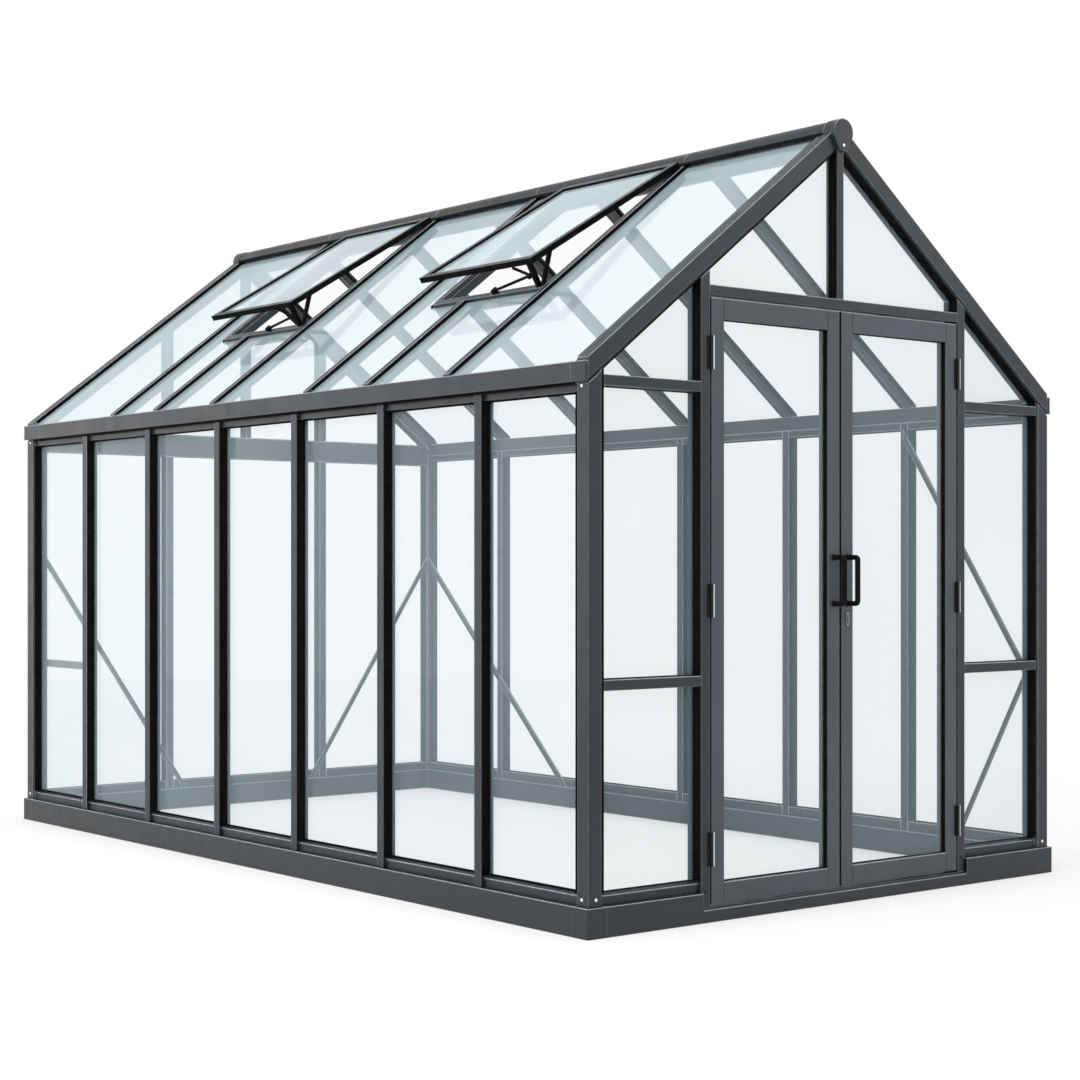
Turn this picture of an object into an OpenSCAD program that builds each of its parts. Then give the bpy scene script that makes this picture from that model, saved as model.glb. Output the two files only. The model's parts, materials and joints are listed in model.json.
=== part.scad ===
// Apex greenhouse: a powder-coated aluminium frame glazed with clear sheets,
// on a low base frame, with hinged double doors in the front gable and
// two roof vents propped open. Millimetres, front gable towards -Y.

/* [House] */
// Outer length of the base frame, along Y
base_l = 3660; // [2600:10:5200]
// Outer width of the base frame, along X
base_w = 2100; // [1900:10:2800]
// Height of the eaves, to the top of the gutter
eaves_h = 1643; // [1400:1:2100]
// Pitch of the roof in degrees
pitch = 37.5; // [34:0.5:45]
// Number of glazed bays along the left wall
left_bays = 7; // [6:1:10]
// Number of glazed bays along the right wall and the right slope
right_bays = 6; // [5:1:10]

/* [Base] */
// Height of the base frame
base_h = 88; // [70:1:140]
// Depth of the base frame's box section, from its outer face
base_d = 70; // [64:1:90]
// Wall thickness of the base frame's box section
base_wall = 4; // [2:0.5:6]
// Projection of the base frame beyond the post faces
base_lip = 11; // [6:1:14]
// Height of the sill rail that holds the foot of the glass
sill_h = 35; // [28:1:50]
// Setback of the sill rail's outer face from the post face
sill_set = 12; // [8:1:16]
// Fall of the weathered top of the sill rail
sill_fall = 7; // [4:1:12]
// Height of the eaves rail that holds the head of the glass
eaves_rail_h = 26; // [20:1:40]

/* [Sections] */
// Size of the corner section, used for posts and rafters
post_s = 60; // [54:1:66]
// Width of the proud face of the corner section
post_face = 49; // [40:1:52]
// Setback of the step beside the proud face
post_step = 8; // [4:1:12]
// Width of the wall glazing bars
bar_w = 34; // [30:1:44]
// Width of the roof glazing bars
roof_bar_w = 26; // [24:1:36]
// Depth of the wall glazing bars, outer face to inner face
bar_d = 48; // [46:1:52]
// Depth of the roof glazing bars, outer face to inner face
roof_bar_d = 48; // [44:1:62]
// Height of the transoms in the gables
transom_h = 31; // [28:1:40]
// Width of the king posts
king_w = 28; // [26:1:44]

/* [Glass] */
// Thickness of the glass
glass_t = 4; // [3:0.5:5]
// Setback of the wall and gable glass from the outer face of the frame
glass_set = 34; // [30:1:36]
// Setback of the roof glass from the outer face of the roof bars
roof_glass_set = 13; // [13:1:18]
// Depth of the glazing grooves
groove_d = 10; // [8:1:11]
// Play between the glass and each side of its groove
glaze_gap = 0.25; // [0.2:0.05:0.4]
// Play between the edge of a pane and the bottom of its groove
pane_gap = 2; // [1:0.5:4]

/* [Eaves and ridge] */
// Height of the gutter's outer face
gutter_h = 58; // [50:1:80]
// Projection of the gutter beyond the post faces
gutter_out = 15; // [14:1:30]
// Reach of the gutter inwards from the post faces
gutter_in = 45; // [40:1:48]
// Wall thickness of the gutter
gutter_t = 4; // [2:0.5:5]
// Place over the gutter where the roof bars start, from the post faces
roof_start = -3; // [-3:1:10]
// Place over the gutter where the roof panes start, from the post faces
pane_start = 12; // [10:1:16]
// Reach of the gutter's end caps past the posts
gutter_cap_over = 2; // [1:1:20]
// Radius of the rounded ridge cap
ridge_r = 40; // [38:1:52]
// Depth of the centre of the ridge cap below the apex of the roof planes
ridge_drop = 28; // [20:1:30]
// Width of the ridge beam
ridge_w = 24; // [16:1:32]
// Depth of the ridge beam's side faces
ridge_d = 84; // [70:1:120]
// Thickness of the ridge end caps
ridge_end_t = 14; // [8:1:20]
// Margin of the ridge end caps around the ridge cap
ridge_end_margin = 2.5; // [2:0.5:6]
// Length of the collar behind each ridge end cap
ridge_collar_l = 36; // [20:1:60]
// Gap between the sections of the ridge cap
ridge_seam = 1; // [0.5:0.5:3]

/* [Gables] */
// Outer width of the door frame, over both jambs
door_frame_w = 1200; // [1000:10:1240]
// Width of each door jamb
jamb_w = 35; // [30:1:50]
// Height of the door head section
head_h = 31; // [28:1:45]
// Clear height between the door head and the rafter beside a jamb
head_drop = 17; // [12:1:60]
// Height of the door sill
door_sill_h = 44; // [30:1:56]
// Depth of the eaves transom's centre below the eaves
eaves_transom_drop = 51; // [44:1:80]
// Height of the centre of the middle transoms
mid_transom_z = 718; // [500:1:900]
// Height of the eaves rail across the back gable
back_rail_h = 93; // [60:1:120]
// Distance between the centres of the back mullions
back_mullion_pitch = 790; // [600:10:1000]

/* [Doors] */
// Width of the door stiles
stile_w = 51; // [44:1:70]
// Height of the door rails
rail_h = 62; // [44:1:90]
// Thickness of the door leaves
leaf_t = 40; // [36:1:46]
// Setback of the glass in the door leaves
leaf_glass_set = 18; // [14:1:22]
// Gap around each leaf
door_gap = 7; // [6:0.5:10]
// Gap between the two leaves
meet_gap = 10; // [9.5:0.5:14]
// Height of each pull handle
handle_h = 164; // [120:1:240]
// Projection of each pull handle from the leaf
handle_out = 51; // [46:1:70]
// Thickness of each pull handle
handle_t = 20; // [16:1:24]
// Height of the centre of the pull handles
handle_z = 1014; // [900:1:1100]
// Height of each hinge
hinge_h = 100; // [80:1:140]
// Radius of the hinge knuckles
knuckle_r = 6.5; // [6:0.5:8]
// Radius of the hinge pins
hinge_pin_r = 3; // [2.5:0.5:3.5]
// Width of each hinge plate from the pin
hinge_plate_w = 13; // [13:1:30]
// Thickness of the hinge plates
hinge_plate_t = 3; // [2:0.5:3]
// Distance of the end hinges' centres from the ends of the leaf
hinge_inset = 165; // [100:1:260]

/* [Vents] */
// Distance of the vent sill's centre up the slope from the eaves
vent_sill_u = 524; // [300:1:600]
// Width of the vent sill
vent_sill_w = 26; // [24:1:50]
// Distance from the vents' hinge line to the top of the slope
vent_top_gap = 72; // [66:1:110]
// Angle at which the vents stand open
vent_open = 6.5; // [5:0.5:20]
// Width of the vent frame's bars
vent_bar_w = 24; // [20:1:44]
// Thickness of the vent frame
vent_t = 20; // [16:1:34]
// Thickness of the opener's struts
opener_arm_t = 10; // [8:1:14]
// Width of the opener's struts
opener_arm_w = 20; // [14:1:26]
// Radius of the opener's push rod
opener_rod_r = 5; // [4:0.5:7]
// Radius of the opener's pivots
opener_pivot_r = 9; // [8:0.5:12]

/* [Braces] */
// Width of the bracing bars, measured plumb
brace_v = 38; // [24:1:50]
// Height of the centre of the level strut in the left wall
strut_z = 655; // [500:1:800]
// Thickness of the bracing bars
brace_t = 7; // [5:0.5:7]
// Height at which the long braces meet the posts
brace_top_z = 1060; // [800:1:1300]
// Reach of the back gable's braces along the base
back_brace_reach = 700; // [500:10:900]
// Reach of the side wall's brace along the base
side_brace_reach = 1060; // [700:10:1300]

/* [Hidden] */
$fn = 48;

// Colours of the finishes
frame_grey = [0.22, 0.23, 0.24];
glass_blue = [0.84, 0.91, 0.94, 0.35];
black_plastic = [0.06, 0.06, 0.07];
bare_metal = [0.75, 0.76, 0.78];

// Overrun of every cut past the face that it opens
overrun = 2;

// House outline, centred on the origin before it is shifted
half_w = base_w / 2 - base_lip;
half_l = base_l / 2 - base_lip;
left_bay_l = 2 * half_l / left_bays;
right_bay_l = 2 * half_l / right_bays;
slope_run = half_w + gutter_out;
slope_l = slope_run / cos(pitch);
apex_z = eaves_h + slope_run * tan(pitch);
gutter_low_z = eaves_h - gutter_h;
gutter_cap_l = post_s + gutter_cap_over;
wall_h = gutter_low_z - base_h;

// Shift along Y that centres the box over the origin: the handles reach
// further at the front than the ridge end cap does at the back
back_reach = max(base_lip, ridge_end_t);
box_shift = (handle_out - back_reach) / 2;

// Glazing grooves, from the outer face of a section
groove_a = glass_set - glaze_gap;
roof_groove_a = roof_glass_set - glaze_gap;
groove_w = glass_t + 2 * glaze_gap;
pane_in = groove_d - pane_gap;

// Lines of the left slope's bays along the house, as shares of its length from the
// front, and the bays with a vent, counted from the front. In such a bay, the vent and
// the jack bar below it reach to these shares of the bay
roof_shares = [0, 0.187, 0.407, 0.58, 0.791, 1];
roof_bays = len(roof_shares) - 1;
vent_bays = [1, 3];
vent_share = 0.76;
jack_share = 0.55;
vent_hinge_u = slope_l - vent_top_gap;
vent_low_u = vent_sill_u - vent_sill_w / 2;
vent_l = vent_hinge_u - vent_low_u;
vent_glass_z = (vent_t - glass_t) / 2;
vent_seat = 0.3;

// Vent opener: the struts stand at the front end of the sill, one leaning far up the
// slope, and the rod's foot and its link's head lie at these shares of the vent's width
opener_inset = 1;
opener_long_lean = 90;
opener_short_lean = 10;
rod_foot_share = 0.42;
link_head_share = 0.17;
rod_head_share = 0.5;
opener_play = 0.3;

// Roof panes, from inside the gutter to just short of the ridge beam
roof_pane_z = -roof_glass_set - glass_t;
roof_pane_u = (gutter_out + pane_start - roof_glass_set * sin(pitch)) / cos(pitch);
roof_pane_end = (slope_run - ridge_w / 2) / cos(pitch) + roof_pane_z * tan(pitch) - pane_gap;

// Door frame: the head follows the rafters at the jambs
head_top_z = eaves_h + (slope_run - door_frame_w / 2) * tan(pitch) - post_s / cos(pitch) - head_drop;
head_low_z = head_top_z - head_h;
opening_w = door_frame_w - 2 * jamb_w;
leaf_w = (opening_w - 2 * door_gap - meet_gap) / 2;
leaf_low_z = door_sill_h + door_gap;
leaf_h = head_low_z - door_gap - leaf_low_z;
leaf_x = -opening_w / 2 + door_gap;
leaf_groove_a = leaf_glass_set - glaze_gap;

// Hinges: the pin stands in the gap beside the leaf, just proud of its face
hinge_x = -opening_w / 2 + door_gap / 2;
hinge_y = -half_l - knuckle_r;
hinge_zs = [leaf_low_z + hinge_inset, leaf_low_z + leaf_h / 2, leaf_low_z + leaf_h - hinge_inset];
hinge_play = 0.06;
knuckle_gap = 0.5;
knuckle_h = (hinge_h - 2 * knuckle_gap) / 3;
plate_clear = 1;

// Pull handle and lock
handle_corner_share = 0.7;
handle_corner_r = handle_t * handle_corner_share;
handle_x = -meet_gap / 2 - stile_w / 2;
lock_w = 14;
lock_h = 44;
lock_t = 3;
lock_drop = 40;

// Back gable
back_rail_drop = 12.75;
back_rail_z = eaves_h - back_rail_h / 2 - back_rail_drop;
back_rail_top_z = back_rail_z + back_rail_h / 2;
back_rail_low_z = back_rail_z - back_rail_h / 2;

// Corner brace: its upper bar rises over one bay to the eaves rail, and the foot of its
// lower bar lies at a share of that bay
corner_brace_z = mid_transom_z - transom_h;
corner_brace_top_z = gutter_low_z - eaves_rail_h - brace_v;
lower_brace_share = 0.57;

// Tip of the ridge end caps: a tangent to the round part, cut off square
tip_angle = 30;
tip_drop = 58;
collar_play = 0.3;

// Part of the house on one side, and its mirror image
module both_sides() {
    children();
    mirror([1, 0, 0]) children();
}

module both_ends() {
    children();
    mirror([0, 1, 0]) children();
}

// A node's place, with the box centred over the origin
module placed(tint) {
    color(tint) translate([0, box_shift, 0]) children();
}

// Frame on the left slope: X up the slope, Y along the house, Z square out of the roof
module left_slope() {
    translate([-slope_run, 0, eaves_h]) rotate([0, -pitch, 0]) children();
}

// Gable outline under the roof planes, lowered square to the slope by drop
module gable_outline(drop) {
    low_z = eaves_h - drop / cos(pitch);
    polygon([[-slope_run, 0], [slope_run, 0], [slope_run, low_z],
        [0, apex_z - drop / cos(pitch)], [-slope_run, low_z]]);
}

module under_roof(drop) {
    rotate([90, 0, 0]) linear_extrude(base_l, center = true) gable_outline(drop);
}

// Grid of n equal bays along the house: its lines, and the clear ends of a bay between bars of width w
function grid_y(i, n) = -half_l + i * 2 * half_l / n;
function bay_start(i, n, w) = i == 0 ? post_s - half_l : grid_y(i, n) + w / 2;
function bay_end(i, n, w) = i == n - 1 ? half_l - post_s : grid_y(i + 1, n) - w / 2;

// The left slope's own grid
function roof_y(i) = -half_l + 2 * half_l * roof_shares[i];
function roof_bay_l(i) = roof_y(i + 1) - roof_y(i);
function vent_w(i) = roof_bay_l(i) * vent_share;
function trimmer_y(i) = roof_y(i) + vent_w(i);
function jack_y(i) = roof_y(i) + roof_bay_l(i) * jack_share;
function roof_bay_start(i) = i == 0 ? post_s - half_l : roof_y(i) + roof_bar_w / 2;
function roof_bay_end(i) = i == roof_bays - 1 ? half_l - post_s : roof_y(i + 1) - roof_bar_w / 2;
function has_vent(i) = len(search(i, vent_bays)) > 0;

// Sections

// Corner section: two proud faces, a step beside each and a glazing groove in each flank,
// the one in the flank across X at its own depth
module corner_profile(side_groove_a) {
    step = post_s - post_face;
    difference() {
        square(post_s);
        translate([post_face, -overrun]) square([step + overrun, post_step + overrun]);
        translate([-overrun, post_face]) square([post_step + overrun, step + overrun]);
        translate([post_s - groove_d, side_groove_a]) square([groove_d + overrun, groove_w]);
        translate([groove_a, post_s - groove_d]) square([groove_w, groove_d + overrun]);
    }
}

// Glazing bar: X across the bar, Y inwards from its outer face, a groove in each side
module grooved_bar(w, depth, groove_at) {
    difference() {
        translate([-w / 2, 0]) square([w, depth]);
        for (side = [0, 1]) {
            mirror([side, 0]) translate([w / 2 - groove_d, groove_at])
                square([groove_d + overrun, groove_w]);
        }
    }
}

module bar_profile(w) {
    grooved_bar(w, bar_d, groove_a);
}

module roof_bar_profile(w) {
    grooved_bar(w, roof_bar_d, roof_groove_a);
}

// Sill rail: X inwards from the post face, Y up, a groove along its top
module sill_profile() {
    difference() {
        polygon([[sill_set, 0], [bar_d, 0], [bar_d, sill_h], [groove_a, sill_h],
            [sill_set, sill_h - sill_fall]]);
        translate([groove_a, sill_h - groove_d]) square([groove_w, groove_d + overrun]);
    }
}

// Eaves rail: X inwards from the post face, Y up to the gutter, a groove along its foot
module eaves_rail_profile() {
    difference() {
        translate([sill_set, -eaves_rail_h]) square([bar_d - sill_set, eaves_rail_h]);
        translate([groove_a, -eaves_rail_h - overrun]) square([groove_w, groove_d + overrun]);
    }
}

module base_profile() {
    difference() {
        square([base_d, base_h]);
        translate([base_wall, base_wall]) square([base_d - 2 * base_wall, base_h - 2 * base_wall]);
    }
}

// Upright bar in a gable or in the left wall, from z0 up
module gable_bar(x, z0, h, w) {
    translate([x, -half_l, z0]) linear_extrude(h) bar_profile(w);
}

module wall_bar(y) {
    translate([-half_w, y, base_h]) linear_extrude(wall_h) rotate(-90) bar_profile(bar_w);
}

// Level bar in a gable between two places on X
module gable_rail(x0, x1, z, h) {
    translate([x0, -half_l, z]) rotate([0, 90, 0]) linear_extrude(x1 - x0) bar_profile(h);
}

module gable_sill(x0, x1) {
    translate([x0, -half_l, base_h]) rotate([90, 0, 90]) linear_extrude(x1 - x0) sill_profile();
}

// Pane in a gable: a rectangle cut off under the rafters' grooves
module gable_pane(x0, x1, z0, z1) {
    translate([0, -half_l + glass_set + glass_t, 0]) rotate([90, 0, 0]) linear_extrude(glass_t)
        intersection() {
            translate([x0, z0]) square([x1 - x0, z1 - z0]);
            gable_outline(post_s - pane_in);
        }
}

// Base frame

module base_side_rails() {
    rail_l = base_l - 2 * base_d;
    placed(frame_grey) both_sides() translate([-base_w / 2, rail_l / 2, 0])
        rotate([90, 0, 0]) linear_extrude(rail_l) base_profile();
}

module base_back_rail() {
    rail_l = base_w - 2 * base_d;
    placed(frame_grey) mirror([0, 1, 0]) translate([-rail_l / 2, -base_l / 2, 0])
        rotate([90, 0, 90]) linear_extrude(rail_l) base_profile();
}

module base_front_rails() {
    rail_l = (base_w - door_frame_w) / 2 - base_d;
    placed(frame_grey) both_sides() translate([base_d - base_w / 2, -base_l / 2, 0])
        rotate([90, 0, 90]) linear_extrude(rail_l) base_profile();
}

module base_corners() {
    placed(frame_grey) both_ends() both_sides() translate([-base_w / 2, -base_l / 2, 0])
        cube([base_d, base_d, base_h]);
}

module door_sill() {
    placed(frame_grey) translate([-door_frame_w / 2, -base_l / 2, 0]) rotate([90, 0, 90])
        linear_extrude(door_frame_w) polygon([[0, 0], [base_d, 0], [base_d, door_sill_h],
            [base_lip, door_sill_h], [0, door_sill_h - sill_fall]]);
}

// Posts, bars and sills

module corner_posts() {
    placed(frame_grey) both_ends() both_sides() intersection() {
        translate([-half_w, -half_l, base_h]) linear_extrude(apex_z - base_h)
            corner_profile(groove_a);
        under_roof(post_s);
    }
}

module left_wall_bars() {
    placed(frame_grey) for (i = [1 : left_bays - 1]) wall_bar(grid_y(i, left_bays));
}

module right_wall_bars() {
    placed(frame_grey) mirror([1, 0, 0]) for (i = [1 : right_bays - 1]) wall_bar(grid_y(i, right_bays));
}

// A rail in each of n bays of a side wall, at a height, with the profile of the children
module wall_rails(n, z) {
    for (i = [0 : n - 1]) {
        rail_l = bay_end(i, n, bar_w) - bay_start(i, n, bar_w);
        translate([-half_w, bay_end(i, n, bar_w), z]) rotate([90, 0, 0]) linear_extrude(rail_l) children();
    }
}

module side_rails(z) {
    wall_rails(left_bays, z) children();
    mirror([1, 0, 0]) wall_rails(right_bays, z) children();
}

module side_sill_rails() {
    placed(frame_grey) side_rails(base_h) sill_profile();
}

module gable_sill_rails() {
    mullion_in = back_mullion_pitch / 2 - bar_w / 2;
    mullion_out = back_mullion_pitch / 2 + bar_w / 2;
    placed(frame_grey) {
        both_sides() gable_sill(post_s - half_w, -door_frame_w / 2);
        mirror([0, 1, 0]) {
            both_sides() gable_sill(post_s - half_w, -mullion_out);
            gable_sill(-mullion_in, mullion_in);
        }
    }
}

// Eaves

module eaves_rails() {
    placed(frame_grey) side_rails(gutter_low_z) eaves_rail_profile();
}

// Open channel whose inner wall carries the roof bars
module gutter_profile() {
    inner = gutter_in - gutter_t;
    floor_z = gutter_t - gutter_h;
    lip = 2 * gutter_t - gutter_out;
    polygon([[-gutter_out, 0], [-gutter_out, -gutter_h], [gutter_in, -gutter_h],
        [gutter_in, -gutter_t], [inner, -gutter_t], [inner, floor_z],
        [gutter_t - gutter_out, floor_z], [gutter_t - gutter_out, -gutter_t], [lip, -gutter_t], [lip, 0]]);
}

module gutters() {
    gutter_l = 2 * (half_l - gutter_cap_l);
    placed(frame_grey) both_sides() translate([-half_w, gutter_l / 2, eaves_h])
        rotate([90, 0, 0]) linear_extrude(gutter_l) gutter_profile();
}

// Cap that wraps the outer end of the gutter and closes its channel behind the post
module gutter_end_caps() {
    weir_h = gutter_h / 2;
    placed(frame_grey) both_ends() both_sides() translate([-half_w, -half_l, gutter_low_z]) {
        translate([-gutter_out, 0, 0]) cube([gutter_out, gutter_cap_l, gutter_h]);
        translate([-gutter_t, post_s, 0]) cube([gutter_in + gutter_t, gutter_cap_l - post_s, weir_h]);
    }
}

// Roof frame

module front_left_rafter() {
    intersection() {
        left_slope() translate([-slope_l, -half_l, 0]) rotate([90, 0, 90])
            linear_extrude(2 * slope_l + post_s) mirror([0, 1]) corner_profile(roof_groove_a);
        translate([-half_w, -half_l, 0]) cube([half_w, post_s, apex_z + post_s]);
    }
}

module left_rafters() {
    placed(frame_grey) both_ends() front_left_rafter();
}

module right_rafters() {
    placed(frame_grey) both_ends() mirror([1, 0, 0]) front_left_rafter();
}

// Roof bar between two places on the slope, at most from the gutter to the side of the ridge beam;
// its foot is cut level to stand on the gutter's inner wall
module roof_bar(y, start_u, end_u) {
    intersection() {
        left_slope() translate([start_u, y, 0]) rotate([90, 0, 90])
            linear_extrude(end_u - start_u) mirror([0, 1]) roof_bar_profile(roof_bar_w);
        translate([roof_start - half_w, y - roof_bar_w, eaves_h - gutter_t])
            cube([half_w - roof_start - ridge_w / 2, 2 * roof_bar_w, apex_z]);
    }
}

module long_roof_bar(y) {
    roof_bar(y, -slope_l, 2 * slope_l);
}

// The left slope has a bar between the bays, and in a bay with a vent also a jack bar up to the
// vent's sill and a trimmer from the sill to the ridge
module left_roof_bars() {
    placed(frame_grey) {
        for (i = [1 : roof_bays - 1]) long_roof_bar(roof_y(i));
        for (i = vent_bays) {
            roof_bar(jack_y(i), -slope_l, vent_low_u);
            roof_bar(trimmer_y(i), vent_low_u + vent_sill_w, 2 * slope_l);
        }
    }
}

module right_roof_bars() {
    placed(frame_grey) mirror([1, 0, 0])
        for (i = [1 : right_bays - 1]) long_roof_bar(grid_y(i, right_bays));
}

module ridge_beam() {
    beam_l = 2 * (half_l - post_s);
    side_z = apex_z - ridge_w / 2 * tan(pitch);
    placed(frame_grey) rotate([90, 0, 0]) linear_extrude(beam_l, center = true)
        polygon([[-ridge_w / 2, side_z], [0, apex_z], [ridge_w / 2, side_z],
            [ridge_w / 2, side_z - ridge_d], [-ridge_w / 2, side_z - ridge_d]]);
}

// Part of a round section about the ridge cap's centre that stands above the roof planes
module above_roof() {
    difference() {
        translate([0, apex_z - ridge_drop]) children();
        gable_outline(0);
    }
}

// Rounded cap on the roof planes, a section for each bay of the left slope
module ridge_caps() {
    placed(frame_grey) for (i = [0 : roof_bays - 1]) {
        translate([0, roof_y(i + 1) - ridge_seam / 2, 0]) rotate([90, 0, 0])
            linear_extrude(roof_bay_l(i) - ridge_seam) above_roof() circle(ridge_r);
    }
}

// End cap: a drop-shaped plate, and a collar that laps the ridge cap
module ridge_end_caps() {
    r = ridge_r + ridge_end_margin;
    side = [r * cos(tip_angle), -r * sin(tip_angle)];
    tip_x = side[0] - (tip_drop + side[1]) * tan(tip_angle);
    placed(frame_grey) both_ends() {
        translate([0, -half_l, apex_z - ridge_drop]) rotate([90, 0, 0]) linear_extrude(ridge_end_t) {
            circle(r);
            polygon([[-side[0], side[1]], [side[0], side[1]], [tip_x, -tip_drop], [-tip_x, -tip_drop]]);
        }
        translate([0, ridge_collar_l - half_l, 0]) rotate([90, 0, 0]) linear_extrude(ridge_collar_l)
            above_roof() difference() {
                circle(r);
                circle(ridge_r + collar_play);
            }
    }
}

// Front gable

module door_jambs() {
    inner_x = jamb_w - groove_d;
    placed(frame_grey) both_sides() intersection() {
        translate([-door_frame_w / 2, -half_l, door_sill_h]) difference() {
            linear_extrude(apex_z) difference() {
                square([jamb_w, post_s]);
                translate([-overrun, groove_a]) square([groove_d + overrun, groove_w]);
            }
            translate([inner_x, groove_a, head_top_z - groove_d - door_sill_h])
                cube([groove_d + overrun, groove_w, apex_z]);
        }
        under_roof(post_s);
    }
}

module door_head() {
    placed(frame_grey) translate([-opening_w / 2, -half_l, head_low_z]) rotate([90, 0, 90])
        linear_extrude(opening_w) difference() {
            square([post_s, head_h]);
            translate([groove_a, head_h - groove_d]) square([groove_w, groove_d + overrun]);
        }
}

module king_posts() {
    placed(frame_grey) intersection() {
        union() {
            gable_bar(0, head_top_z, apex_z - head_top_z, king_w);
            mirror([0, 1, 0]) gable_bar(0, back_rail_top_z, apex_z - back_rail_top_z, king_w);
        }
        under_roof(post_s);
    }
}

module front_transoms() {
    placed(frame_grey) both_sides() for (z = [mid_transom_z, eaves_h - eaves_transom_drop]) {
        gable_rail(post_s - half_w, -door_frame_w / 2, z, transom_h);
    }
}

// Back gable

// Mullions from the base to the eaves rail, and on from there to the rafters
module back_mullions() {
    x = -back_mullion_pitch / 2;
    placed(frame_grey) both_sides() mirror([0, 1, 0]) {
        gable_bar(x, base_h, back_rail_low_z - base_h, bar_w);
        intersection() {
            gable_bar(x, back_rail_top_z, apex_z - back_rail_top_z, bar_w);
            under_roof(post_s);
        }
    }
}

module back_rails() {
    placed(frame_grey) mirror([0, 1, 0]) intersection() {
        gable_rail(post_s - half_w, half_w - post_s, back_rail_z, back_rail_h);
        under_roof(post_s);
    }
}

// Braces

// Outline of a brace from the flank of a post down to the base: X along the wall
module falling_brace(reach) {
    run = reach - post_s;
    fall = brace_top_z - base_h;
    foot = brace_v * run / fall;
    polygon([[post_s, brace_top_z], [post_s, brace_top_z + brace_v], [reach + foot, base_h],
        [reach, base_h]]);
}

module rising_brace() {
    polygon([[post_s, corner_brace_z], [post_s, corner_brace_z + brace_v],
        [right_bay_l, corner_brace_top_z + brace_v], [right_bay_l, corner_brace_top_z]]);
}

module lower_brace() {
    reach = right_bay_l * lower_brace_share;
    top_z = corner_brace_z - brace_v - overrun;
    foot = brace_v * (reach - post_s) / (top_z - base_h);
    polygon([[post_s, top_z], [post_s, top_z + brace_v], [reach + foot, base_h], [reach, base_h]]);
}

// Stands an outline on the inner face of the back gable, X from the left corner
module on_back_gable() {
    translate([-half_w, half_l - bar_d, 0]) rotate([90, 0, 0]) linear_extrude(brace_t) children();
}

// Level strut over one bay, from the flank of a post to the bar beside it
module level_strut() {
    translate([post_s, strut_z - transom_h / 2]) square([left_bay_l - post_s, transom_h]);
}

// Stands an outline on the inner face of the right wall, X from the front corner
module on_right_wall() {
    translate([half_w - bar_d - brace_t, -half_l, 0]) rotate([90, 0, 90])
        linear_extrude(brace_t) children();
}

module wall_braces() {
    placed(frame_grey) {
        both_sides() on_back_gable() falling_brace(back_brace_reach);
        mirror([0, 1, 0]) on_right_wall() falling_brace(side_brace_reach);
        on_right_wall() rising_brace();
        on_right_wall() lower_brace();
        rotate(180) on_right_wall() level_strut();
    }
}

// Glass

module wall_panes(n) {
    foot_z = base_h + sill_h - pane_in;
    head_z = gutter_low_z - eaves_rail_h + pane_in;
    for (i = [0 : n - 1]) {
        y0 = bay_start(i, n, bar_w) - pane_in;
        y1 = bay_end(i, n, bar_w) + pane_in;
        translate([-half_w + glass_set, y0, foot_z]) cube([glass_t, y1 - y0, head_z - foot_z]);
    }
}

module left_wall_glass() {
    placed(glass_blue) wall_panes(left_bays);
}

module right_wall_glass() {
    placed(glass_blue) mirror([1, 0, 0]) wall_panes(right_bays);
}

// Pane on the slope between the clear edges y0 and y1 of two bars
module roof_pane(y0, y1, end_u) {
    left_slope() translate([roof_pane_u, y0 - pane_in, roof_pane_z])
        cube([end_u - roof_pane_u, y1 - y0 + 2 * pane_in, glass_t]);
}

// Panes round a vent: a short one below it, and one that runs on up beside its trimmer
module vent_bay_panes(i) {
    low_end = vent_low_u + pane_in;
    y0 = jack_y(i) + roof_bar_w / 2 - pane_in;
    y1 = trimmer_y(i) + roof_bar_w / 2 - pane_in;
    y2 = roof_bay_end(i) + pane_in;
    roof_pane(roof_bay_start(i), jack_y(i) - roof_bar_w / 2, low_end);
    left_slope() translate([0, 0, roof_pane_z]) linear_extrude(glass_t)
        polygon([[roof_pane_u, y0], [low_end, y0], [low_end, y1], [roof_pane_end, y1],
            [roof_pane_end, y2], [roof_pane_u, y2]]);
}

module left_roof_glass() {
    placed(glass_blue) for (i = [0 : roof_bays - 1]) {
        if (has_vent(i)) vent_bay_panes(i);
        else roof_pane(roof_bay_start(i), roof_bay_end(i), roof_pane_end);
    }
}

module right_roof_glass() {
    n = right_bays;
    placed(glass_blue) mirror([1, 0, 0]) for (i = [0 : n - 1])
        roof_pane(bay_start(i, n, roof_bar_w), bay_end(i, n, roof_bar_w), roof_pane_end);
}

module front_gable_glass() {
    x0 = post_s - half_w - pane_in;
    x1 = -door_frame_w / 2 + pane_in;
    eaves_z = eaves_h - eaves_transom_drop;
    rail_in = transom_h / 2 - pane_in;
    placed(glass_blue) both_sides() {
        gable_pane(x0, x1, base_h + sill_h - pane_in, mid_transom_z - rail_in);
        gable_pane(x0, x1, mid_transom_z + rail_in, eaves_z - rail_in);
        gable_pane(x0, x1, eaves_z + rail_in, apex_z);
        gable_pane(-opening_w / 2 - pane_in, pane_in - king_w / 2, head_top_z - pane_in, apex_z);
    }
}

module back_gable_glass() {
    x0 = post_s - half_w - pane_in;
    x1 = -back_mullion_pitch / 2 - bar_w / 2 + pane_in;
    mid_x = back_mullion_pitch / 2 - bar_w / 2 + pane_in;
    foot_z = base_h + sill_h - pane_in;
    upper_z = back_rail_top_z - pane_in;
    placed(glass_blue) mirror([0, 1, 0]) {
        both_sides() {
            gable_pane(x0, x1, foot_z, back_rail_low_z + pane_in);
            gable_pane(x0, x1, upper_z, apex_z);
            gable_pane(-mid_x, pane_in - king_w / 2, upper_z, apex_z);
        }
        gable_pane(-mid_x, mid_x, foot_z, back_rail_low_z + pane_in);
    }
}

// Roof vents

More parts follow.
